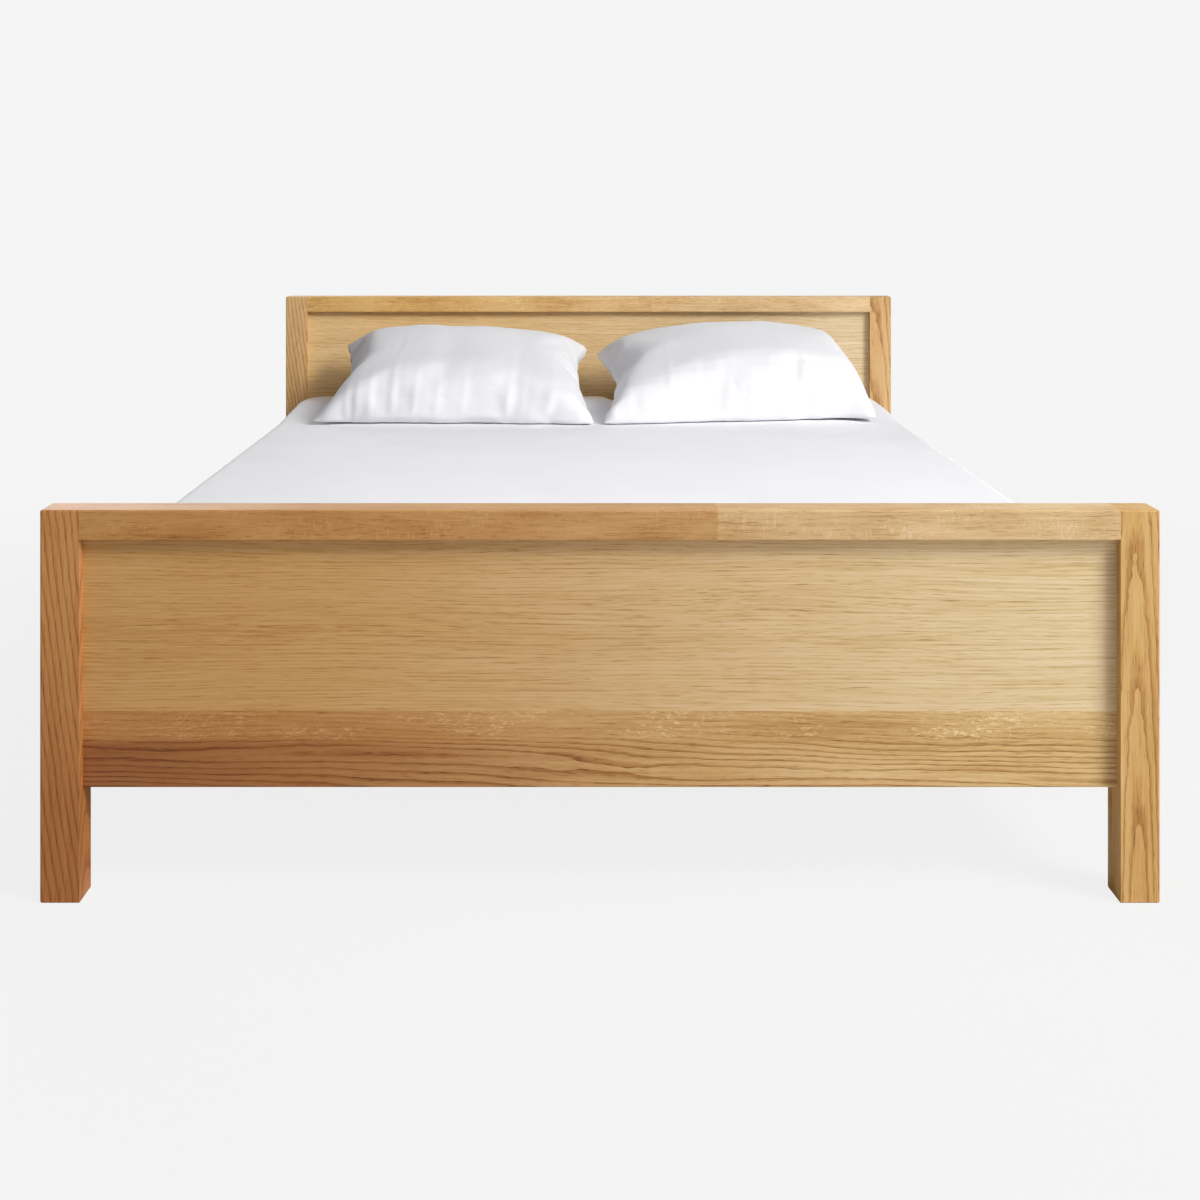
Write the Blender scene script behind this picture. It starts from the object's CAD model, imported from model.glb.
import math

import bpy
import numpy as np
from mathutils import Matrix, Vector


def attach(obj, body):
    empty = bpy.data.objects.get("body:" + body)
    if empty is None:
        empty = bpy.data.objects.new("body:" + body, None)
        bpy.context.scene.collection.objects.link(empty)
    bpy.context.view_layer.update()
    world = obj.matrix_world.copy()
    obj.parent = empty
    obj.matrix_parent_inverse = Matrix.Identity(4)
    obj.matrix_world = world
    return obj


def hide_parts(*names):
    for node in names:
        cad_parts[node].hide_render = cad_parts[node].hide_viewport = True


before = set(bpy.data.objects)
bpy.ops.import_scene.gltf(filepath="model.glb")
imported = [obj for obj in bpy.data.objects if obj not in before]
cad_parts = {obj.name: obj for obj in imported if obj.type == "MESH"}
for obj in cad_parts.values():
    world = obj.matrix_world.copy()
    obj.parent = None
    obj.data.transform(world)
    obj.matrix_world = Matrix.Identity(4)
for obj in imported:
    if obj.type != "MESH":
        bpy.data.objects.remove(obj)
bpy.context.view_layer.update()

print("frame loaded:", len(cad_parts), "pieces")


# Small helpers
def linearColour(hexText):
    # each sRGB channel as a share of 255, with the sRGB curve taken off
    share = np.array([int(hexText[at:at + 2], 16) for at in (0, 2, 4)]) / 255
    linear = np.where(share <= 0.04045, share / 12.92, ((share + 0.055) / 1.055) ** 2.4)
    return (*(float(channel) for channel in linear), 1.0)


def addNode(tree, kind, inputs=None, stops=None, **settings):
    # one node: its settings, its inputs as numbers or links, and a ramp's stops
    node = tree.nodes.new("ShaderNode" + kind)
    for key, setting in settings.items():
        setattr(node, key, setting)
    for key, given in (inputs or {}).items():
        if isinstance(given, bpy.types.NodeSocket):
            tree.links.new(given, node.inputs[key])
        else:
            node.inputs[key].default_value = given
    if stops:
        ramp = node.color_ramp
        while len(ramp.elements) < len(stops):
            ramp.elements.new(1.0)
        for element, (at, hexText) in zip(ramp.elements, stops):
            element.position = at
            element.color = linearColour(hexText)
    return node


def newMaterial(name, **sockets):
    # a Principled shader wired to the output, with its sockets set by name
    material = bpy.data.materials.new(name)
    material.use_nodes = True
    tree = material.node_tree
    tree.nodes.clear()
    shader = addNode(tree, "BsdfPrincipled", {key.replace("_", " "): given for key, given in sockets.items()})
    addNode(tree, "OutputMaterial", {0: shader.outputs[0]})
    return material, tree, shader


def smoothStep(values, low, high):
    # 0 below low, 1 above high, and 3t^2 - 2t^3 between them
    share = np.clip((values - low) / (high - low), 0, 1)
    return share * share * (3 - 2 * share)


def buildPiece(name, points, faces, material, body, stands=()):
    # points as an n by 3 array, faces as arrays of point numbers; smooth shaded
    mesh = bpy.data.meshes.new(name)
    mesh.from_pydata(points.tolist(), [], [face for group in faces for face in np.asarray(group).tolist()])
    mesh.polygons.foreach_set("use_smooth", np.full(len(mesh.polygons), True))
    mesh.materials.append(material)
    mesh.update()
    piece = bpy.data.objects.new(name, mesh)
    bpy.context.scene.collection.objects.link(piece)
    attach(piece, body)
    if stands:
        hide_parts(*stands)
    return piece


# Camera, lamps and floor
cameraLook = {
    "place": (-0.038, -3.5147, 1.0733),  # eye, level and square to the footboard
    "lens": 48.06,
    "sensor": 36.0,
    "shift": (0.0208, -0.3333),
}
cameraData = bpy.data.cameras.new("camera")
cameraData.lens = cameraLook["lens"]
cameraData.sensor_width = cameraLook["sensor"]
cameraData.shift_x, cameraData.shift_y = cameraLook["shift"]
camera = bpy.data.objects.new("camera", cameraData)
camera.location = cameraLook["place"]
camera.rotation_euler = (math.radians(90), 0, 0)
bpy.context.scene.collection.objects.link(camera)
bpy.context.scene.camera = camera
bpy.context.scene.view_settings.view_transform = "Standard"

studio = {
    "backdrop": "F5F5F5",
    "paper": "EDEDED",
    "ambient": ("FFFFFF", 0.094),
    # name, place, aimed at, width, height, watts, colour
    "lamps": [
        ("windowTop", (5.2, -4.2, 5.2), (0.0, 0.0, 0.4), 2.6, 2.6, 598, "FFFEFC"),
        ("windowFoot", (5.0, -7.4, 2.6), (0.0, 0.0, 0.4), 2.6, 2.6, 60, "FFFEFC"),
        ("ceiling", (0.1, -1.0, 2.5), (0.1, -0.8, 0.5), 1.8, 1.8, 9.4, "FFFFFF"),
        ("backFill", (-3.6, 6.6, 3.2), (0.0, 0.6, 0.5), 3.0, 3.0, 140, "FFFFFF"),
    ],
    "floorHalf": 30.0,
    "shadowKept": 0.08,  # share of the floor's own shading near the bed
    "shadowReach": (1.5, 3.2),
}


def buildLamps(look):
    # rectangular area lamps, each turned from its place towards its aim
    for name, place, aim, wide, high, watts, tint in look["lamps"]:
        data = bpy.data.lights.new(name, "AREA")
        data.shape = "RECTANGLE"
        data.size, data.size_y = wide, high
        data.energy = watts
        data.color = linearColour(tint)[:3]
        lamp = bpy.data.objects.new(name, data)
        lamp.location = place
        towards = Vector(aim) - Vector(place)
        lamp.rotation_euler = towards.to_track_quat("-Z", "Y").to_euler()
        bpy.context.scene.collection.objects.link(lamp)


def buildWorld(look):
    # lights at the ambient level, and shows the backdrop to the camera, in gloss and through glass
    world = bpy.data.worlds.new("studio")
    world.use_nodes = True
    tree = world.node_tree
    tree.nodes.clear()
    rays = addNode(tree, "LightPath").outputs
    seen = addNode(tree, "Math", {0: rays["Is Camera Ray"], 1: rays["Is Glossy Ray"]}, operation="MAXIMUM")
    seen = addNode(tree, "Math", {0: seen.outputs[0], 1: rays["Is Transmission Ray"]}, operation="MAXIMUM")
    tint, strength = look["ambient"]
    fill = addNode(tree, "Background", {0: linearColour(tint), 1: strength})
    shown = addNode(tree, "Background", {0: linearColour(look["backdrop"]), 1: 1.0})
    both = addNode(tree, "MixShader", {0: seen.outputs[0], 1: fill.outputs[0], 2: shown.outputs[0]})
    addNode(tree, "OutputWorld", {0: both.outputs[0]})
    bpy.context.scene.world = world


def buildFloor(look):
    # matt paper: the camera sees the backdrop's tone, with part of the bed's shadow kept near it
    material = bpy.data.materials.new("paper floor")
    material.use_nodes = True
    tree = material.node_tree
    tree.nodes.clear()
    place = addNode(tree, "TexCoord").outputs["Object"]
    away = addNode(tree, "VectorMath", {0: place}, operation="LENGTH").outputs["Value"]
    near = addNode(tree, "MapRange", {0: away, 1: look["shadowReach"][0], 2: look["shadowReach"][1],
                                      3: 1 - look["shadowKept"], 4: 1.0}, interpolation_type="SMOOTHSTEP")
    rays = addNode(tree, "LightPath").outputs
    share = addNode(tree, "Math", {0: rays["Is Camera Ray"], 1: near.outputs[0]}, operation="MULTIPLY")
    paper = addNode(tree, "BsdfDiffuse", {0: linearColour(look["paper"])})
    glow = addNode(tree, "Emission", {0: linearColour(look["backdrop"]), 1: 1.0})
    both = addNode(tree, "MixShader", {0: share.outputs[0], 1: paper.outputs[0], 2: glow.outputs[0]})
    addNode(tree, "OutputMaterial", {0: both.outputs[0]})
    half = look["floorHalf"]
    mesh = bpy.data.meshes.new("floor")
    corners = [(-half, -half, 0), (half, -half, 0), (half, half, 0), (-half, half, 0)]
    mesh.from_pydata(corners, [], [(0, 1, 2, 3)])
    mesh.materials.append(material)
    floor = bpy.data.objects.new("floor", mesh)
    bpy.context.scene.collection.objects.link(floor)


buildLamps(studio)
buildWorld(studio)
buildFloor(studio)
print("studio built")


# Wood
# Oak, planed, sanded and finished with a satin hardwax oil: warm straw brown, rings drawn as lines of
# dark open pores, a soft gloss. Lengths in millimetres; "axes" is grain, across, depth.
oakLook = {
    "axes": "XZY", "pair": ("Y", 1040.0),
    "steps": (1700.0, 4300.0),  # how far along the log each side and each board is taken
    "level": 0.56,  # the tone that the rest is added to
    "joint": ("X", 9000.0, 0.0, "FFFFFF"),  # axis, place, tone past it, tint of the board before it
    "ring": 7.0, "pith": (-60.0, 30.0), "lean": (0.0, 0.0), "ringForce": 0.30, "swirl": 2.0,
    "wander": (620.0, 90.0, 14.0),  # length and width of the drift in the grain, and how far it goes
    "pore": (26.0, 1.3, 0.36),  # pores are 0.3 mm wide; drawn 1.3 mm so that they show
    "fibre": (170.0, 5.0, 0.22),
    "fleck": (9.0, 6.0, 0.0), "patch": (140.0, 45.0),  # flecks, and the patches that they come in
    "rayBand": (9000.0, 9001.0),  # where the band starts and is full, across the grain
    "cloud": (420.0, 60.0, 0.25),
    "tones": [(0.0, "825324"), (0.38, "B68347"), (0.62, "D5A667"), (1.0, "EAC48A")],
    "slide": ("FFFFFF", "FFFFFF"), "slideSpan": (-600.0, 800.0),  # tints left and right, and between which x
    "heart": None,  # darker heartwood: full and end heights, full and end x, tint
    "roughness": 0.52, "gloss": 0.30,
}


def noiseAlong(tree, vector, length, width, detail=2.0, seed=0.0, **extra):
    # noise in lumps of that length along the grain and that width across it, in mm
    scaled = addNode(tree, "VectorMath", {0: vector, 1: (1000 / length, 1000 / width, 1000 / width)},
                     operation="MULTIPLY")
    moved = addNode(tree, "VectorMath", {0: scaled.outputs[0], 1: (seed, seed * 1.7, seed * 0.6)},
                    operation="ADD")
    return addNode(tree, "TexNoise", {"Vector": moved.outputs[0], "Scale": 1.0, "Detail": detail,
                                      "Roughness": 0.55, **extra})


def addedTo(tree, base, source, force, centre=0.5):
    # base + force * (source - centre)
    lifted = addNode(tree, "Math", {0: source, 1: force, 2: base}, operation="MULTIPLY_ADD")
    return addNode(tree, "Math", {0: lifted.outputs[0], 1: force * centre}, operation="SUBTRACT").outputs[0]


def grainOf(tree, parts, past, look):
    # the two ends (or sides) of the bed are brought to one middle, each from its own stretch of the log:
    # along the grain 1.7 m is added or taken by side, and 4.3 m past a joint
    pairAxis, apart = look["pair"]
    sign = addNode(tree, "Math", {0: parts[pairAxis]}, operation="SIGN").outputs[0]
    axes = dict(zip("XYZ", parts[:3]))
    axes[pairAxis] = addNode(tree, "Math", {0: sign, 1: -apart / 1000, 2: parts[pairAxis]},
                             operation="MULTIPLY_ADD").outputs[0]
    along, aside, deep = (axes[letter] for letter in look["axes"])
    sideStep, jointStep = look["steps"]
    log = addNode(tree, "Math", {0: sign, 1: sideStep / 1000, 2: along}, operation="MULTIPLY_ADD").outputs[0]
    log = addNode(tree, "Math", {0: past, 1: jointStep / 1000, 2: log}, operation="MULTIPLY_ADD").outputs[0]
    grain = addNode(tree, "CombineXYZ", {0: log, 1: aside, 2: deep}).outputs[0]

    # slow drift of the grain from side to side
    length, width, far = look["wander"]
    drift = noiseAlong(tree, grain, length, width, 1.0).outputs["Color"]
    grain = addNode(tree, "VectorMath", {0: drift, 1: (0, far / 500, far / 500), 2: grain},
                    operation="MULTIPLY_ADD").outputs[0]
    return grain, aside


def ringsOf(tree, grain, band, look):
    # growth rings round a pith that lies beside the piece and leans a little from its length; they fade
    # by 0.7 where the board is cut on the quarter
    lean = [math.radians(angle) for angle in look["lean"]]
    pith = addNode(tree, "Mapping", {"Vector": grain, "Rotation": (0, *lean),
                                     "Location": (0, -look["pith"][0] / 1000, -look["pith"][1] / 1000)})
    rings = addNode(tree, "TexWave", {"Vector": pith.outputs[0], "Scale": 314 / look["ring"],
                                      "Distortion": look["swirl"], "Detail": 2.0, "Detail Scale": 0.35},
                    wave_type="RINGS", rings_direction="X", wave_profile="SAW").outputs["Fac"]
    early = addNode(tree, "MapRange", {0: rings, 1: 0.0, 2: 0.45, 3: 1.0, 4: 0.0}).outputs[0]
    plain = addNode(tree, "Math", {0: band, 1: -0.7, 2: 1.0}, operation="MULTIPLY_ADD").outputs[0]
    return addNode(tree, "Math", {0: early, 1: plain}, operation="MULTIPLY").outputs[0]


def toneOf(tree, grain, early, band, look):
    # tone = level - rings + fibre + cloud - pores + rays, each times its force
    tone = addedTo(tree, look["level"], early, -look["ringForce"], 0.3)
    length, width, force = look["fibre"]
    tone = addedTo(tree, tone, noiseAlong(tree, grain, length, width, 3.0, 3.1).outputs[0], force * 2)
    length, width, force = look["cloud"]
    tone = addedTo(tree, tone, noiseAlong(tree, grain, length, width, 2.0, 7.7).outputs[0], force * 2)

    # open pores, thick in the early wood of each ring
    length, width, force = look["pore"]
    dashes = noiseAlong(tree, grain, length, width, 1.0, 5.3).outputs[0]
    dashes = addNode(tree, "MapRange", {0: dashes, 1: 0.54, 2: 0.70, 3: 0.0, 4: 1.0}).outputs[0]
    where = addNode(tree, "MapRange", {0: early, 1: 0.0, 2: 1.0, 3: 0.45, 4: 1.0}).outputs[0]
    pores = addNode(tree, "Math", {0: dashes, 1: where}, operation="MULTIPLY").outputs[0]
    tone = addedTo(tree, tone, pores, -force, 0.15)

    # rays cut across the board: short pale flecks, in patches
    length, width, force = look["fleck"]
    if force:
        flecks = noiseAlong(tree, grain, length, width, 2.0, 9.1, Distortion=1.4).outputs[0]
        flecks = addNode(tree, "MapRange", {0: flecks, 1: 0.52, 2: 0.66, 3: 0.0, 4: 1.0}).outputs[0]
        patches = noiseAlong(tree, grain, *look["patch"], 1.0, 2.2).outputs[0]
        patches = addNode(tree, "MapRange", {0: patches, 1: 0.42, 2: 0.62, 3: 0.1, 4: 1.0}).outputs[0]
        flecks = addNode(tree, "Math", {0: flecks, 1: patches}, operation="MULTIPLY").outputs[0]
        flecks = addNode(tree, "Math", {0: flecks, 1: band}, operation="MULTIPLY").outputs[0]
        tone = addedTo(tree, tone, flecks, force, 0.1)
    return tone


def times(tree, colour, tint, share=1.0):
    # colour * tint, by that share
    return addNode(tree, "Mix", {0: share, 6: colour, 7: tint}, data_type="RGBA",
                   blend_type="MULTIPLY").outputs[2]


def tinted(tree, colour, parts, past, look):
    # the colour times a tint that goes from left to right, one for the board before a joint, and the
    # heartwood's where the piece is low and to the left
    left, right = look["slideSpan"]
    across = addNode(tree, "MapRange", {0: parts["X"], 1: left / 1000, 2: right / 1000, 3: 0.0, 4: 1.0},
                     interpolation_type="SMOOTHSTEP").outputs[0]
    leftTint, rightTint = (linearColour(tint) for tint in look["slide"])
    slide = addNode(tree, "Mix", {0: across, 6: leftTint, 7: rightTint}, data_type="RGBA").outputs[2]
    before = linearColour(look["joint"][3])
    board = addNode(tree, "Mix", {0: past, 6: before, 7: (1, 1, 1, 1)}, data_type="RGBA").outputs[2]
    colour = times(tree, times(tree, colour, slide), board)
    if look["heart"]:
        full, ends, start, stop, tint = look["heart"]
        low = addNode(tree, "MapRange", {0: parts["Z"], 1: full / 1000, 2: ends / 1000, 3: 1.0,
                                         4: 0.0}).outputs[0]
        near = addNode(tree, "MapRange", {0: parts["X"], 1: start / 1000, 2: stop / 1000, 3: 1.0,
                                          4: 0.0}).outputs[0]
        heart = addNode(tree, "Math", {0: low, 1: near}, operation="MULTIPLY").outputs[0]
        colour = times(tree, colour, linearColour(tint), heart)
    return colour


def woodMaterial(name, **changes):
    # the grain's tone picks a colour from the tones, which is tinted, and lifts the surface a little
    look = {**oakLook, **changes}
    material, tree, shader = newMaterial(name, Roughness=look["roughness"], IOR=1.5,
                                         Specular_IOR_Level=look["gloss"])
    place = addNode(tree, "TexCoord").outputs["Object"]
    parts = addNode(tree, "SeparateXYZ", {0: place}).outputs
    jointAxis, jointAt, pastTone, _ = look["joint"]
    past = addNode(tree, "Math", {0: parts[jointAxis], 1: jointAt / 1000},
                   operation="GREATER_THAN").outputs[0]
    grain, aside = grainOf(tree, parts, past, look)
    low, high = look["rayBand"]
    band = addNode(tree, "MapRange", {0: aside, 1: low / 1000, 2: high / 1000, 3: 0.0, 4: 1.0}).outputs[0]
    early = ringsOf(tree, grain, band, look)
    tone = addedTo(tree, toneOf(tree, grain, early, band, look), past, pastTone, 0.0)
    colour = addNode(tree, "ValToRGB", {0: tone}, look["tones"]).outputs[0]
    tree.links.new(tinted(tree, colour, parts, past, look), shader.inputs["Base Color"])
    bump = addNode(tree, "Bump", {"Strength": 0.25, "Distance": 0.0004, "Height": tone})
    tree.links.new(bump.outputs[0], shader.inputs["Normal"])
    return material


def dress(material, *names):
    # gives a carried-over CAD piece its finish
    for name in names:
        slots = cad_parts[name].data.materials
        slots.clear()
        slots.append(material)


paleTones = [(0.0, "885B2E"), (0.38, "C08F57"), (0.62, "E0B57C"), (1.0, "F5D5A5")]
slantingPost = {"axes": "ZXY", "pith": (-1120.0, 60.0), "lean": (0.0, 7.0), "ring": 9.0,
                "wander": (520.0, 120.0, 16.0)}
archedPost = {"axes": "ZXY", "pith": (818.0, 62.0), "lean": (1.4, 0.3), "ring": 5.0,
              "wander": (900.0, 90.0, 8.0)}
topRail = {"pith": (300.0, 400.0), "ring": 11.0, "ringForce": 0.12, "pore": (26.0, 1.2, 0.50),
           "fleck": (7.0, 18.0, 0.16), "rayBand": (-1.0, 0.0), "cloud": (160.0, 60.0, 0.30)}
veneer = {"pith": (2000.0, 300.0), "ring": 6.0, "ringForce": 0.10, "pore": (40.0, 1.1, 0.42),
          "fibre": (220.0, 2.4, 0.40), "cloud": (900.0, 34.0, 0.18)}
dress(woodMaterial("oak foot post, slanting grain", **slantingPost,
                   heart=(160.0, 480.0, -700.0, 900.0, "E3D0BF"),
                   tones=[(0.0, "76431A"), (0.38, "A66B35"), (0.62, "C3894F"), (1.0, "D5A269")]),
      "footboard_post_left")
dress(woodMaterial("oak foot post, arched grain", **archedPost, slide=("F4F6F2", "F4F6F2")),
      "footboard_post_right")
dress(woodMaterial("oak head post, slanting grain", **slantingPost, tones=paleTones), "headboard_post_left")
dress(woodMaterial("oak head post, arched grain", **archedPost, tones=paleTones,
                   slide=("EEEEEC", "EEEEEC")), "headboard_post_right")
dress(woodMaterial("oak foot rail, rayed", **topRail, joint=("X", 180.0, 0.02, "F3E7D4"),
                   tones=[(0.0, "815A30"), (0.38, "B48D5A"), (0.62, "D3B281"), (1.0, "E8D2AC")],
                   slide=("EDD6BC", "FFFFFF")),
      "footboard_top_rail")
dress(woodMaterial("oak head rail, rayed", **topRail, joint=("X", 180.0, 0.02, "FFFFFF"),
                   tones=[(0.0, "8A6137"), (0.38, "C29866"), (0.62, "E3C091"), (1.0, "F8E3C1")],
                   slide=("FFEFC5", "FCFFFF")), "headboard_top_rail")
dress(woodMaterial("oak foot panel, straight veneer", **veneer,
                   tones=[(0.0, "9A7646"), (0.38, "C8A973"), (0.62, "DEC59A"), (1.0, "EBD9BC")],
                   slide=("E4C69E", "FFFFFF")), "footboard_panel")
dress(woodMaterial("oak head panel, straight veneer", **veneer,
                   tones=[(0.0, "A78051"), (0.38, "D7B783"), (0.62, "EDD4AC"), (1.0, "FCEBD0")],
                   slide=("FFF3DA", "F0F2F2")), "headboard_panel")
dress(woodMaterial("oak bottom rail, plain sawn", pith=(175.0, 20.0), lean=(0.0, 1.6), ring=8.0,
                   ringForce=0.36, pore=(26.0, 1.3, 0.40), wander=(620.0, 70.0, 18.0),
                   fleck=(15.0, 5.0, 0.34), rayBand=(236.0, 252.0),
                   tones=[(0.0, "764A23"), (0.38, "AE834C"), (0.62, "CFAB72"), (1.0, "ECD4A6")],
                   slide=("DBB89A", "FFFFFF"), heart=(236.0, 250.0, -700.0, 60.0, "DBCAC7")),
      "footboard_bottom_rail", "headboard_bottom_rail")
dress(woodMaterial("oak side rail", axes="YZX", pair=("X", 840.0), pith=(140.0, 60.0), lean=(0.0, 1.0)),
      "side_rail_left", "side_rail_right")

# Pine, planed and left bare: pale, wide soft rings, no pores to speak of, matt.
pineLook = {
    "ring": 9.0, "ringForce": 0.22, "pore": (60.0, 2.2, 0.06), "fibre": (240.0, 4.0, 0.12), "roughness": 0.62,
    "tones": [(0.0, "B98A50"), (0.38, "DDBB85"), (0.62, "EBD2A6"), (1.0, "F4E3C0")],
}
dress(woodMaterial("pine ledge, planed", **{**pineLook, "axes": "YZX", "pair": ("X", 812.0)}),
      "slat_ledge_left", "slat_ledge_right")
dress(woodMaterial("pine beam, planed", **{**pineLook, "axes": "YZX", "pair": ("X", 0.0)}), "centre_beam")
dress(woodMaterial("pine leg, planed", **{**pineLook, "axes": "ZXY", "pair": ("X", 0.0)}), "centre_leg")
dress(woodMaterial("pine slat, planed", **{**pineLook, "axes": "XYZ", "pair": ("Y", 0.0),
                                           "pith": (0.0, -900.0), "wander": (700.0, 60.0, 12.0)}),
      *[f"slat_{number:02d}" for number in range(1, 15)])
print("wood finished")


# Metal
def metalMaterial(name, hexText, scratch, blotch, roughness):
    # Steel, zinc plated: cool grey with a faint mottling of the bath, and fine scratches where it was pressed
    material, tree, shader = newMaterial(name, Metallic=1.0, Roughness=roughness)
    place = addNode(tree, "TexCoord").outputs["Object"]
    mottle = addNode(tree, "TexNoise", {"Vector": place, "Scale": 1000 / blotch, "Detail": 3.0}).outputs[0]
    shade = 0.86  # the mottling's dark tone, as a share of the light one
    dark = "".join(f"{int(int(hexText[at:at + 2], 16) * shade):02X}" for at in (0, 2, 4))
    colour = addNode(tree, "ValToRGB", {0: mottle}, [(0.35, dark), (0.65, hexText)]).outputs[0]
    tree.links.new(colour, shader.inputs["Base Color"])
    lines = noiseAlong(tree, place, scratch * 30, scratch, 2.0).outputs[0]
    rough = addNode(tree, "MapRange", {0: lines, 1: 0.3, 2: 0.7, 3: roughness - 0.08,
                                       4: roughness + 0.12}).outputs[0]
    tree.links.new(rough, shader.inputs["Roughness"])
    bump = addNode(tree, "Bump", {"Strength": 0.2, "Distance": 0.0002, "Height": lines})
    tree.links.new(bump.outputs[0], shader.inputs["Normal"])
    return material


dress(metalMaterial("steel fitting, zinc plated", "C4C7C9", 0.5, 6.0, 0.38),
      *[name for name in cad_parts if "_plate_" in name and "screws" not in name],
      "beam_shoe_foot", "beam_shoe_head")
dress(metalMaterial("steel screw, zinc plated", "D2CFC2", 0.4, 3.0, 0.30),
      *[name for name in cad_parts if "screws" in name], "centre_leg_bolt", "strap_staples")
print("metal finished")


# Cloth finishes
def clothMaterial(name, hexText, thread, crease, sheen, shade="", roughness=0.86, seam=None):
    # woven cotton: matt, a soft sheen on its edges, a bump of crossing threads, and broad shallow creases
    material, tree, shader = newMaterial(name, Roughness=roughness, Sheen_Weight=sheen, Sheen_Roughness=0.5)
    place = addNode(tree, "TexCoord").outputs["Object"]
    soft = addNode(tree, "TexNoise", {"Vector": place, "Scale": 6.0, "Detail": 3.0}).outputs[0]
    colour = addNode(tree, "ValToRGB", {0: soft}, [(0.3, shade or hexText), (0.7, hexText)]).outputs[0]
    tree.links.new(colour, shader.inputs["Base Color"])
    threads = {"Vector": place, "Scale": 314 / thread}
    warp, weft = (addNode(tree, "TexWave", threads, bands_direction=axis).outputs["Fac"] for axis in "XY")
    weave = addNode(tree, "Math", {0: warp, 1: weft}, operation="MAXIMUM").outputs[0]
    fine = addNode(tree, "Bump", {"Strength": 0.12, "Distance": 0.0003, "Height": weave}).outputs[0]
    folds = addNode(tree, "TexNoise", {"Vector": place, "Scale": 1000 / crease[0], "Detail": 2.5,
                                       "Distortion": 0.6}).outputs[0]
    broad = addNode(tree, "Bump", {"Strength": 1.0, "Distance": crease[1] / 1000, "Height": folds,
                                   "Normal": fine}).outputs[0]
    if seam:
        # a sewn ridge where |x| - |y| is that of the corners' middles, near the bed's sides only
        parts = addNode(tree, "SeparateXYZ", {0: place}).outputs
        x, y = (addNode(tree, "Math", {0: parts[axis]}, operation="ABSOLUTE").outputs[0] for axis in "XY")
        off = addNode(tree, "Math", {0: x, 1: y}, operation="SUBTRACT").outputs[0]
        off = addNode(tree, "Math", {0: off, 1: seam["offset"]}, operation="ADD").outputs[0]
        off = addNode(tree, "Math", {0: off}, operation="ABSOLUTE").outputs[0]
        inner, outer = seam["ridge"]
        ridge = addNode(tree, "MapRange", {0: off, 1: inner, 2: outer, 3: 1.0, 4: 0.0}).outputs[0]
        starts, full = seam["from"]
        near = addNode(tree, "MapRange", {0: x, 1: starts, 2: full, 3: 0.0, 4: 1.0}).outputs[0]
        ridge = addNode(tree, "Math", {0: ridge, 1: near}, operation="MULTIPLY").outputs[0]
        broad = addNode(tree, "Bump", {"Strength": 0.8, "Distance": seam["height"], "Height": ridge,
                                       "Normal": broad}).outputs[0]
    tree.links.new(broad, shader.inputs["Normal"])
    return material


# offset: half the bed's length less half its width; ridge: how far off it is full and ends; from: x in metres
sheetSeam = {"offset": 0.2, "ridge": (0.001, 0.004), "from": (0.715, 0.735), "height": 0.0015}
# threads are 0.3 mm apart; drawn 2 mm apart so that the weave shows at all
sheetCotton = clothMaterial("cotton percale sheet, white", "F9F9FD", 2.0, (170.0, 5.0), 0.10, "F5F5FA",
                            seam=sheetSeam)
caseCotton = clothMaterial("cotton percale pillowcase, white", "F2F2F6", 2.0, (60.0, 1.6), 0.10, "EEEEF3")
pillowTicking = clothMaterial("cotton pillow ticking, cream", "F0EBDD", 2.0, (50.0, 2.0), 0.10)
mattressTicking = clothMaterial("polyester mattress ticking, ivory", "ECE8DE", 3.0, (90.0, 5.0), 0.15,
                                "DDD8CC")
webbing = clothMaterial("polypropylene webbing, white", "E6E3DA", 2.5, (30.0, 0.5), 0.05, "D8D4C8", 0.6)
felt = clothMaterial("wool felt, grey", "6C6862", 1.5, (3.0, 0.6), 0.3, "55514C", 0.95)
print("cloth finishes made")


# Mattress and fitted sheet
def outlineRing(halfX, halfY, corner, steps):
    # a rounded rectangle: each corner is centre + radius * (cos, sin), each side a straight run between them
    turn = np.linspace(0, math.pi / 2, steps["corner"] + 1)
    signs = [(1, 1), (-1, 1), (-1, -1), (1, -1)]
    runs = [steps["end"], steps["side"], steps["end"], steps["side"]]
    arcs = []
    for index, (signX, signY) in enumerate(signs):
        angle = turn + index * math.pi / 2
        arcs.append(np.stack([signX * (halfX - corner) + corner * np.cos(angle),
                              signY * (halfY - corner) + corner * np.sin(angle)], axis=1))
    ring = []
    for index, arc in enumerate(arcs):
        after = arcs[(index + 1) % 4]
        share = np.linspace(0, 1, runs[index] + 1)[1:-1, None]
        ring += [arc, arc[-1] + share * (after[0] - arc[-1])]
    return np.concatenate(ring)


mattressShape = {
    "half": (0.800, 1.000), "base": 0.2921, "thick": 0.216, "corner": 0.090, "edge": 0.030,
    "crown": 0.012, "crownRun": 0.330,
    # points round the outline, rings up each rounding, the wall and the crown, and those that close it
    "steps": {"corner": 10, "end": 70, "side": 84, "round": 9, "wall": 9, "crown": 13,
              "top": 16, "under": 24},
    "tuft": (0.003, 42.0),  # depth, and the turn of its cosines a metre
    # the top stands up where no pillow presses it: height, y where it starts and is full
    "puff": (0.014, 0.50, 0.86),
    # x under each pillow, with its soft ends
    "pressed": [(-0.70, -0.62, -0.06, -0.02), (0.03, 0.08, 0.66, 0.74)],
}
sheetShape = {
    "grow": 0.0016, "hem": 0.120, "hemRings": 5, "flat": (2.24, 2.64), "area": 5.36, "thick": 0.0006,
    "crease": 0.0022,  # creases that run out from the four corners
    "waves": (9.0, 23.0, 4.0, 1.3),  # how often they come round the corner, and how their lines bend
    "reach": (0.04, 0.12, 0.16, 0.42),  # distances from the corner where they start, are full, fade and end
}


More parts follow.
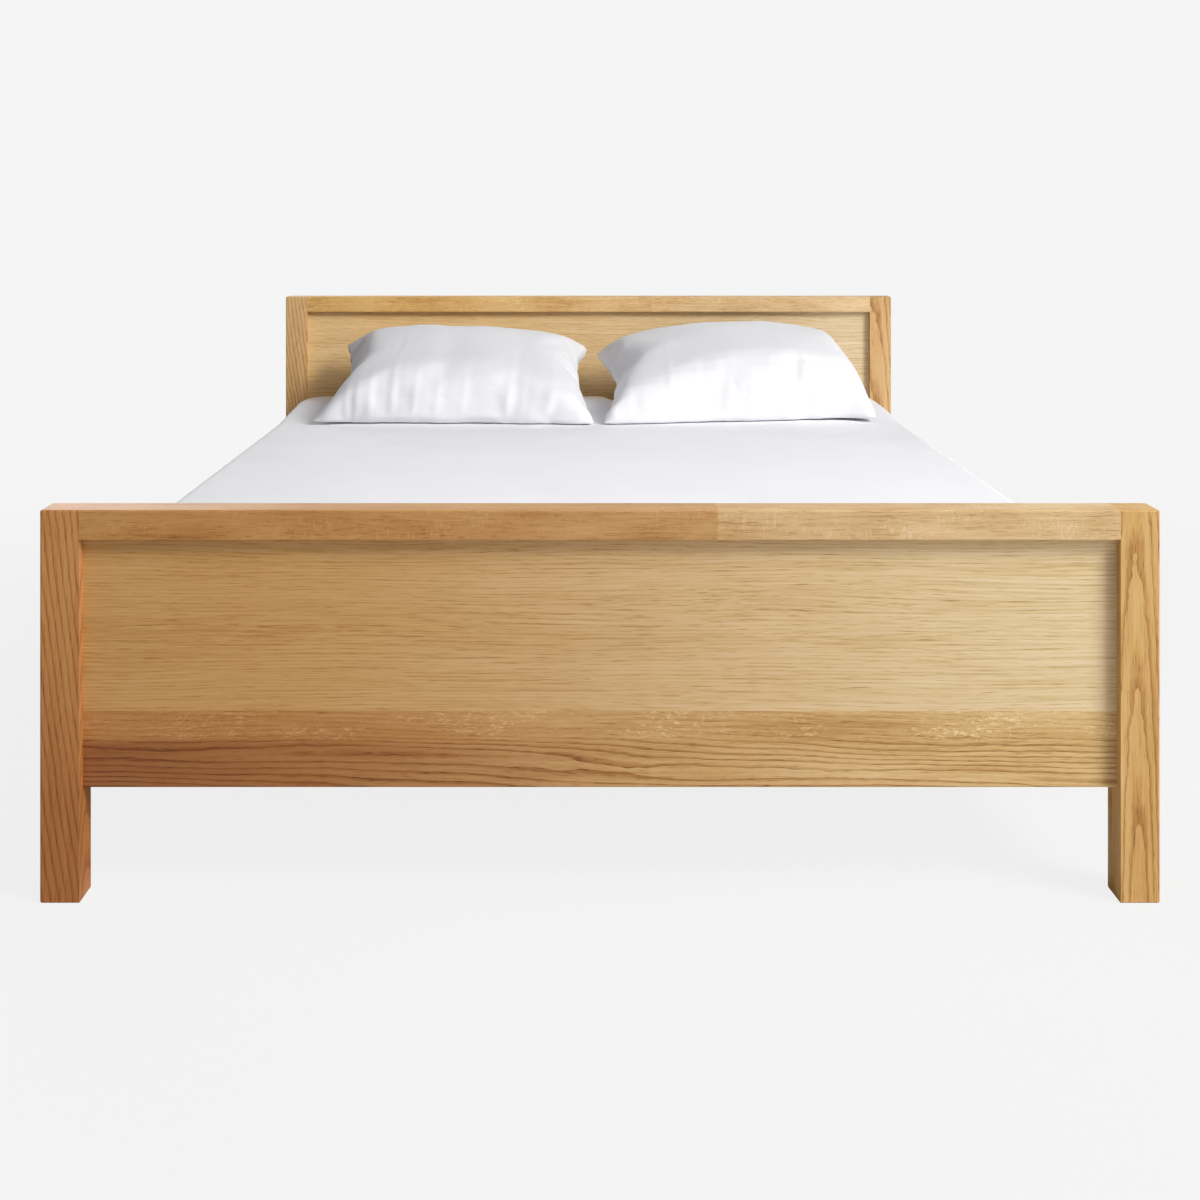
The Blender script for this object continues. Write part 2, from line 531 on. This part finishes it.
def puffed(rings, shape):
    # height * share along y * share outside the pillows, for what lies above the middle of the side
    high, starts, full = shape["puff"]
    x, y, z = rings[..., 0], rings[..., 1], rings[..., 2]
    free = 1 - sum(smoothStep(x, a, b) * (1 - smoothStep(x, c, d)) for a, b, c, d in shape["pressed"])
    above = smoothStep(z, shape["base"] + shape["thick"] * 0.5, shape["base"] + shape["thick"])
    rings[..., 2] = z + high * smoothStep(y, starts, full) * free * above
    return rings


def creased(rings, shape, look):
    # crease * sine of the angle round the corner * a share that rises and falls with the distance from it
    x, y, z = np.abs(rings[..., 0]), np.abs(rings[..., 1]), rings[..., 2]
    awayX, awayY = shape["half"][0] - x, shape["half"][1] - y
    away = np.hypot(awayX, awayY)
    turn = np.arctan2(awayX, awayY)
    often, bend, twist, aside = look["waves"]
    waves = np.sin(turn * often + np.sin(away * bend + turn * twist + np.sign(rings[..., 0]) * aside)) ** 3
    starts, full, fades, ends = look["reach"]
    share = smoothStep(away, starts, full) * (1 - smoothStep(away, fades, ends))
    above = smoothStep(z, shape["base"] + shape["thick"] * 0.8, shape["base"] + shape["thick"])
    rings[..., 2] = z + look["crease"] * np.maximum(waves, -0.2) * share * above
    return rings


def bedLevels(shape, grow):
    # (inset, height) up the side: quarter circle, upright, quarter circle, then the crown's half parabola
    edge, steps = shape["edge"] + grow, shape["steps"]
    turn = np.linspace(0, math.pi / 2, steps["round"])
    low = np.stack([edge * (1 - np.sin(turn)), edge * (1 - np.cos(turn)) - grow], axis=1)
    upright = np.linspace(edge - grow, shape["thick"] + grow - edge, steps["wall"])[1:-1]
    wall = np.stack([np.zeros(len(upright)), upright], axis=1)
    high = np.stack([edge * (1 - np.cos(turn)), shape["thick"] + grow - edge * (1 - np.sin(turn))], axis=1)
    share = np.linspace(0, 1, steps["crown"])[1:]
    dome = np.stack([edge + share * shape["crownRun"],
                     shape["thick"] + grow + shape["crown"] * (1 - (1 - share) ** 2)], axis=1)
    return low, np.concatenate([wall, high, dome])


def ringsAt(shape, grow, levels):
    # one outline for each level, its corner drawn in with the inset, at that level's height
    halfX, halfY = shape["half"][0] + grow, shape["half"][1] + grow
    corner = shape["corner"] + grow
    rings = []
    for inset, height in levels:
        ring = outlineRing(halfX - inset, halfY - inset, max(corner - inset, corner / 3), shape["steps"])
        rings.append(np.column_stack([ring, np.full(len(ring), shape["base"] + height)]))
    return np.array(rings)


def closingRings(last, count):
    # the last ring drawn in towards the middle line of the bed, count times, then to a point
    share = np.linspace(1, 0, count + 2)[1:-1, None, None]
    middle = last.mean(axis=0)
    return middle + (last[None] - middle) * share, middle


def gridFaces(rows, columns):
    # quads between neighbouring rings, which close on themselves: a point's number is row * columns + column
    row, column = np.meshgrid(np.arange(rows - 1), np.arange(columns), indexing="ij")
    start, after = row * columns, (column + 1) % columns
    corners = [start + column, start + after, start + columns + after, start + columns + column]
    return np.stack(corners, axis=-1).reshape(-1, 4)


def fanFaces(ringStart, columns, pole, flip=False):
    # triangles from each pair of neighbours on a ring to its pole
    column = np.arange(columns)
    fan = np.stack([ringStart + column, ringStart + (column + 1) % columns, np.full(columns, pole)], axis=1)
    return fan[:, ::-1] if flip else fan


def buildMattress():
    # rings from the middle of the underside, out and up the side, and in to the middle of the top
    low, rest = bedLevels(mattressShape, 0)
    levels = np.concatenate([low, rest])
    body = ringsAt(mattressShape, 0, levels)
    top, topPole = closingRings(body[-1], mattressShape["steps"]["top"])
    under, underPole = closingRings(body[0], mattressShape["steps"]["under"])
    rings = np.concatenate([under[::-1], body, top])
    # tufts sink the underside in a diamond, fading out at the edge
    where = rings[..., 2] < mattressShape["base"] + 1e-6
    deep, turn = mattressShape["tuft"]
    tuft = deep * (0.5 - 0.5 * np.cos(rings[..., 0] * turn) * np.cos(rings[..., 1] * turn))
    rings[..., 2] += np.where(where, tuft, 0)
    rings = puffed(rings, mattressShape)
    count, columns = rings.shape[:2]
    points = np.concatenate([rings.reshape(-1, 3), underPole[None], topPole[None]])
    faces = [gridFaces(count, columns), fanFaces(0, columns, count * columns, flip=True),
             fanFaces((count - 1) * columns, columns, count * columns + 1)]
    piece = buildPiece("mattress_body", points, faces, mattressTicking, "mattress",
                       ["mattress"])


def buildFittedSheet():
    # the mattress grown by the sheet, without its underside: the hem's ring, then up and over
    grow = sheetShape["grow"]
    low, rest = bedLevels(mattressShape, grow)
    count = sheetShape["hemRings"]
    hem = np.stack([np.linspace(sheetShape["hem"], low[0, 0], count + 1)[:-1], np.full(count, low[0, 1])],
                   axis=1)
    body = ringsAt(mattressShape, grow, np.concatenate([hem, low, rest]))
    top, pole = closingRings(body[-1], mattressShape["steps"]["top"])
    rings = creased(puffed(np.concatenate([body, top]), mattressShape), mattressShape, sheetShape)
    count, columns = rings.shape[:2]
    points = np.concatenate([rings.reshape(-1, 3), pole[None]])
    faces = [gridFaces(count, columns), fanFaces((count - 1) * columns, columns, count * columns)]
    piece = buildPiece("sheet_fitted", points, faces, sheetCotton, "mattress",
                       ["fitted_sheet"])
    solid = piece.modifiers.new("cloth", "SOLIDIFY")
    solid.thickness = sheetShape["thick"]
    solid.offset = -1


buildMattress()
buildFittedSheet()
print("mattress and sheet built")


# Pillows
pillowLook = {
    "flat": (0.735, 0.560), "grid": (64, 48),  # the case laid flat, and its quads
    "volume": 0.048, "push": 10.0, "frames": 12,
    "mass": 0.01, "tension": 30.0, "bending": 2.0, "damping": 50.0,
    "start": 0.012, "rough": 0.0006,  # the layers' first bulge, and the unevenness that starts the puckers
    "empty": 0.055,  # length of case past the filling at its open end
    "gap": 0.009, "margin": 2,  # room between case and filling, and quads left free at the case's rim
    "thick": 0.0007,
    "calm": 2,  # rounds of smoothing over the folds
    "tilt": 16, "below": 1.20,  # degrees, and how much of the bag's rise is kept under the seam
    "pucker": 0.9, "floor": 0.5232, "soft": 0.002,  # the bed's top, and how softly the pillow meets it
}
# The seam round each pillow, as points in metres: front and back run left to right, the sides front to back.
pillowPlaces = {
    "left": {
        "mouth": -1, "seed": 4, "above": 0.90, "lean": -0.14,
        "front": [
            (-0.690, 0.450, 0.5245), (-0.60, 0.436, 0.532), (-0.50, 0.424, 0.539),
            (-0.42, 0.418, 0.541), (-0.375, 0.417, 0.535), (-0.31, 0.416, 0.541), (-0.25, 0.415, 0.540),
            (-0.19, 0.414, 0.533), (-0.12, 0.408, 0.536), (-0.05, 0.403, 0.530), (0.012, 0.400, 0.5250),
        ],
        "back": [
            (-0.671, 0.950, 0.672), (-0.45, 0.940, 0.668), (-0.22, 0.940, 0.664),
            (0.0007, 0.950, 0.658),
        ],
        "left": [
            (-0.690, 0.450, 0.5245), (-0.655, 0.600, 0.557), (-0.638, 0.680, 0.581),
            (-0.6415, 0.800, 0.626), (-0.671, 0.950, 0.672),
        ],
        "right": [
            (0.012, 0.400, 0.5250), (-0.0106, 0.520, 0.5545), (-0.0254, 0.620, 0.578),
            (-0.0277, 0.700, 0.602), (-0.0302, 0.780, 0.631), (-0.022, 0.860, 0.648),
            (0.0007, 0.950, 0.658),
        ],
    },
    "right": {
        "mouth": 1, "seed": 9, "above": 1.20, "lean": 0.14,
        "front": [
            (0.028, 0.405, 0.526), (0.12, 0.415, 0.5275), (0.22, 0.432, 0.529), (0.30, 0.448, 0.532),
            (0.39, 0.458, 0.534), (0.48, 0.475, 0.535), (0.56, 0.497, 0.535), (0.64, 0.515, 0.532),
            (0.7185, 0.500, 0.5245),
        ],
        "back": [
            (0.0175, 0.950, 0.647), (0.24, 0.940, 0.656), (0.46, 0.940, 0.656), (0.689, 0.950, 0.650),
        ],
        "left": [
            (0.028, 0.405, 0.526), (0.0526, 0.530, 0.548), (0.0629, 0.640, 0.570),
            (0.0696, 0.700, 0.584), (0.066, 0.770, 0.600), (0.0409, 0.860, 0.628),
            (0.0175, 0.950, 0.647),
        ],
        "right": [
            (0.7185, 0.500, 0.5245), (0.722, 0.620, 0.550), (0.715, 0.720, 0.575),
            (0.700, 0.820, 0.602), (0.6755, 0.900, 0.630), (0.689, 0.950, 0.650),
        ],
    },
}


def bagGrid(look):
    # share across and along the flat case, from -1 to 1, as two grids
    across = np.linspace(-1, 1, look["grid"][0] + 1)
    along = np.linspace(-1, 1, look["grid"][1] + 1)
    return np.meshgrid(across, along)


def bagIndex(look):
    # numbers of the upper and lower layer's points: three edges are shared, the +X edge is open
    columns, rows = look["grid"][0] + 1, look["grid"][1] + 1
    upper = np.arange(rows * columns).reshape(rows, columns)
    lower = upper.copy()
    own = np.ones((rows, columns), bool)
    own[0, :] = own[-1, :] = own[:, 0] = False
    lower[own] = rows * columns + np.arange(own.sum())
    return upper, lower, own


def layerFaces(index, flip):
    # quads over a grid of point numbers, each with its next neighbours along both ways
    quads = np.stack([index[:-1, :-1], index[:-1, 1:], index[1:, 1:], index[1:, :-1]], axis=-1).reshape(-1, 4)
    return quads[:, ::-1] if flip else quads


def softened(grid, times):
    # each point becomes the mean of itself and its four neighbours, that many times
    for _ in range(times):
        grid = (grid + np.roll(grid, 1, 0) + np.roll(grid, -1, 0) + np.roll(grid, 1, 1)
                + np.roll(grid, -1, 1)) / 5
    return grid


def softenedInside(grid, times):
    # the same inside the grid, with its four edges kept
    for _ in range(times):
        grid = grid.copy()
        grid[1:-1, 1:-1] = (grid[1:-1, 1:-1] + grid[:-2, 1:-1] + grid[2:, 1:-1] + grid[1:-1, :-2]
                            + grid[1:-1, 2:]) / 5
    return grid


def inflateBag(look, seed):
    # two flat layers, sewn round, blown up by the cloth solver; gives the two layers as grids of points
    across, along = bagGrid(look)
    upper, lower, own = bagIndex(look)
    dice = np.random.default_rng(seed)
    bulge = look["start"] * (1 - np.where(across > 0, 0.8, 1.0) * across ** 4) * (1 - along ** 4)
    rough = softened(dice.standard_normal(across.shape), 12)
    rough *= look["rough"] / rough.std()
    top = np.stack([across * look["flat"][0] / 2, along * look["flat"][1] / 2,
                    bulge + rough * (bulge > 0)], axis=-1)
    bottom = top * (1, 1, -1)
    points = np.concatenate([top.reshape(-1, 3), bottom[own]])
    mouth = np.stack([upper[1:, -1], lower[1:, -1], lower[:-1, -1], upper[:-1, -1]], axis=-1)
    faces = np.concatenate([layerFaces(upper, False), layerFaces(lower, True), mouth])
    mesh = bpy.data.meshes.new("bag")
    mesh.from_pydata(points.tolist(), [], [list(dict.fromkeys(face)) for face in faces.tolist()])
    bag = bpy.data.objects.new("bag", mesh)
    bpy.context.scene.collection.objects.link(bag)
    # the empty end of the case isn't blown up
    full = bag.vertex_groups.new(name="full")
    endStart = 1 - 2 * look["empty"] / look["flat"][0]
    weight = 1 - smoothStep(points[:, 0] / (look["flat"][0] / 2), endStart - 0.03, endStart + 0.05)
    for level in np.unique(np.round(weight, 2)):
        full.add(np.flatnonzero(np.round(weight, 2) == level).tolist(), float(level), "REPLACE")
    cloth = bag.modifiers.new("cloth", "CLOTH")
    settings = cloth.settings
    settings.quality = 6
    settings.mass = look["mass"]
    settings.tension_stiffness = settings.compression_stiffness = look["tension"]
    settings.shear_stiffness = look["tension"] / 2
    settings.bending_stiffness = look["bending"]
    settings.tension_damping = settings.compression_damping = settings.shear_damping = look["damping"]
    settings.air_damping = 10.0
    settings.use_pressure = True
    settings.uniform_pressure_force = 0.0
    settings.use_pressure_volume = True  # blown up to the filling's volume, and no further
    settings.target_volume = look["volume"]
    settings.pressure_factor = look["push"]
    settings.vertex_group_pressure = "full"
    settings.effector_weights.gravity = 0
    cloth.collision_settings.use_collision = False
    scene = bpy.context.scene
    for number in range(1, look["frames"] + 1):
        scene.frame_set(number)
    solved = bag.evaluated_get(bpy.context.evaluated_depsgraph_get()).to_mesh()
    flat = np.zeros(len(solved.vertices) * 3)
    solved.vertices.foreach_get("co", flat)
    bpy.data.objects.remove(bag)
    bpy.data.meshes.remove(mesh)
    scene.frame_set(1)
    flat = flat.reshape(-1, 3)
    return flat[upper], flat[lower]


def through(points, count):
    # a smooth curve through every point (each piece a cubic whose end slopes are half of the step between
    # the neighbours), cut into stations evenly apart
    points = np.array(points)
    ends = np.concatenate([2 * points[:1] - points[1:2], points, 2 * points[-1:] - points[-2:-1]])
    share = np.linspace(0, len(points) - 1, 600)
    index = np.minimum(share.astype(int), len(points) - 2)
    t = (share - index)[:, None]
    a, b, c, d = (ends[index + step] for step in range(4))
    curve = 0.5 * (2 * b + (c - a) * t + (2 * a - 5 * b + 4 * c - d) * t ** 2
                   + (3 * b - a - 3 * c + d) * t ** 3)
    walked = np.concatenate([[0], np.cumsum(np.linalg.norm(np.diff(curve, axis=0), axis=1))])
    stations = np.linspace(0, walked[-1], count)
    return np.stack([np.interp(stations, walked, curve[:, axis]) for axis in range(3)], axis=1)


def puckersOf(edge, wide=5):
    # what the edge does beyond its own running mean, smoothed a little and fading out at both ends
    edge = edge.copy()
    edge[1:-1] = (edge[:-2] + 2 * edge[1:-1] + edge[2:]) / 4
    window = np.ones(2 * wide + 1) / (2 * wide + 1)
    mean = np.stack([np.convolve(np.pad(edge[:, axis], wide, "edge"), window, "valid")
                     for axis in range(3)], axis=1)
    share = np.linspace(0, 1, len(edge))[:, None]
    return (edge - mean) * smoothStep(share, 0, 0.12) * (1 - smoothStep(share, 0.88, 1))


def patchFrom(front, back, left, right):
    # Coons patch: the two pairs of edges blended across, less the blend of the corners
    rows, columns = len(left), len(front)
    across = np.linspace(0, 1, columns)[None, :, None]
    along = np.linspace(0, 1, rows)[:, None, None]
    corners = ((1 - along) * ((1 - across) * front[0] + across * front[-1])
               + along * ((1 - across) * back[0] + across * back[-1]))
    return ((1 - along) * front[None] + along * back[None]
            + (1 - across) * left[:, None] + across * right[:, None] - corners)


def placePillow(look, where):
    # layer = patch through the seam + the bag less the patch through its own edges + rise * share, where
    # rise is half of the bag's thickness, turned by the tilt
    top, bottom = inflateBag(look, where["seed"])
    if where["mouth"] < 0:  # the open end lies to the left: mirrored, with the columns in their new order
        top, bottom = (layer[:, ::-1] * (-1, 1, 1) for layer in (top, bottom))
    middle = (top + bottom) / 2
    half = (top[..., 2] - bottom[..., 2]) / 2
    half, middle = softenedInside(half, look["calm"]), softenedInside(middle, look["calm"])
    edges = {"front": middle[0], "back": middle[-1], "left": middle[:, 0], "right": middle[:, -1]}
    seams = {name: through(where[name], len(edge)) + look["pucker"] * puckersOf(edge)
             for name, edge in edges.items()}
    base = patchFrom(*seams.values()) + middle - patchFrom(*edges.values())
    tilt = math.radians(look["tilt"])
    across, _ = bagGrid(look)
    rise = (half * (1 + where["lean"] * across))[..., None] * np.array([0, -math.sin(tilt), math.cos(tilt)])
    layers = []
    for share in (where["above"], -look["below"]):
        layer = base + rise * share
        # bends softly onto the bed's top: floor + soft * log(1 + e^over)
        over = (layer[..., 2] - look["floor"]) / look["soft"]
        layer[..., 2] = look["floor"] + np.logaddexp(0, over) * look["soft"]
        layers.append(layer)
    return layers


def buildPillow(side):
    # the case is both layers as one skin, joined along three edges and open along the fourth
    where = pillowPlaces[side]
    look = pillowLook
    upperLayer, lowerLayer = placePillow(look, where)
    columns = upperLayer.shape[1]
    upper, lower, own = bagIndex(look)
    if where["mouth"] < 0:
        upper, lower, own = upper[:, ::-1], lower[:, ::-1], own[:, ::-1]
    points = np.zeros((upper.size + int(own.sum()), 3))
    points[lower] = lowerLayer
    points[upper] = upperLayer
    faces = [layerFaces(upper, False), layerFaces(lower, True)]
    case = buildPiece(f"pillowcase_{side}_cotton", points, faces, caseCotton, f"pillow_{side}",
                      [f"pillowcase_{side}"])
    solid = case.modifiers.new("cloth", "SOLIDIFY")
    solid.thickness = look["thick"]
    solid.offset = -1
    rounding = case.modifiers.new("rounding", "SUBSURF")
    rounding.levels = rounding.render_levels = 1

    # the filling: the case's two layers drawn towards each other, ending short of the open end
    middle = (upperLayer + lowerLayer) / 2
    half = (upperLayer - lowerLayer) / 2
    size = np.linalg.norm(half, axis=-1, keepdims=True)
    keep = int(columns * (1 - look["empty"] / look["flat"][0]))
    free = look["margin"]
    part = slice(columns - keep, columns - free) if where["mouth"] < 0 else slice(free, keep)
    middle, half, size = (grid[free:-free, part] for grid in (middle, half, size))
    rim = np.ones(size.shape[:2])
    rim[[0, -1], :] = 0
    rim[:, [0, -1]] = 0
    pull = np.clip(1 - look["gap"] / np.maximum(size, 1e-6), 0, 1) * rim[..., None]
    inRows, inColumns = size.shape[:2]
    number = np.arange(inRows * inColumns).reshape(inRows, inColumns)
    inside = rim > 0
    under = number.copy()
    under[inside] = number.size + np.arange(int(inside.sum()))
    filled = np.zeros((number.size + int(inside.sum()), 3))
    filled[under] = middle - half * pull
    filled[number] = middle + half * pull
    faces = [layerFaces(number, False), layerFaces(under, True)]
    filling = buildPiece(f"pillow_{side}_filling", filled, faces, pillowTicking, f"pillow_{side}",
                         [f"pillow_{side}"])


for side in ("left", "right"):
    buildPillow(side)
    print("pillow built:", side)


# Slat straps and the leg's felt
strapLook = {
    "x": 0.500, "half": 0.0125, "reach": 0.995, "low": 0.2705, "high": 0.2718,
    "round": 8, "stations": 200,  # points round the section, and sections
}


def buildStrap(side, signX):
    # a flat ribbon along Y: a rounded oblong section (cos^0.4, sin), carried along the stations
    low, high, count, columns = (strapLook[key] for key in ("low", "high", "stations", "round"))
    turn = np.linspace(0, 2 * math.pi, columns + 1)[:-1]
    wide = np.sign(np.cos(turn)) * np.abs(np.cos(turn)) ** 0.4 * strapLook["half"]
    tall = (high + low) / 2 + np.sin(turn) * (high - low) / 2
    stations = np.linspace(strapLook["reach"], -strapLook["reach"], count)
    rings = np.stack(np.broadcast_arrays(signX * strapLook["x"] + wide[None], stations[:, None], tall[None]),
                     axis=-1)
    poles = rings[[0, -1]].mean(axis=1)
    points = np.concatenate([rings.reshape(-1, 3), poles])
    faces = [gridFaces(count, columns), fanFaces(0, columns, count * columns, flip=True),
             fanFaces((count - 1) * columns, columns, count * columns + 1)]
    piece = buildPiece(f"strap_{side}_webbing", points, faces, webbing, "slat_mat",
                       [f"slat_strap_{side}"])


buildStrap("left", -1)
buildStrap("right", 1)

feltLook = {"radius": 0.020, "thick": 0.003, "soft": 0.0008, "round": 48}


def buildFelt():
    # a disc turned about Z: profile (radius, height) swept round its stations
    radius, thick, soft, columns = (feltLook[key] for key in ("radius", "thick", "soft", "round"))
    profile = np.array([(radius * 0.5, 0), (radius - soft, 0), (radius, soft), (radius, thick - soft),
                        (radius - soft, thick), (radius * 0.5, thick)])
    turn = np.linspace(0, 2 * math.pi, columns + 1)[:-1]
    rings = np.stack([profile[:, :1] * np.cos(turn), profile[:, :1] * np.sin(turn),
                      np.repeat(profile[:, 1:], columns, axis=1)], axis=-1)
    points = np.concatenate([rings.reshape(-1, 3), [(0, 0, 0), (0, 0, thick)]])
    count = len(profile)
    faces = [gridFaces(count, columns), fanFaces(0, columns, count * columns, flip=True),
             fanFaces((count - 1) * columns, columns, count * columns + 1)]
    piece = buildPiece("leg_felt", points, faces, felt, "frame", ["leg_pad"])


buildFelt()
print("straps and felt built")

print("scene finished")
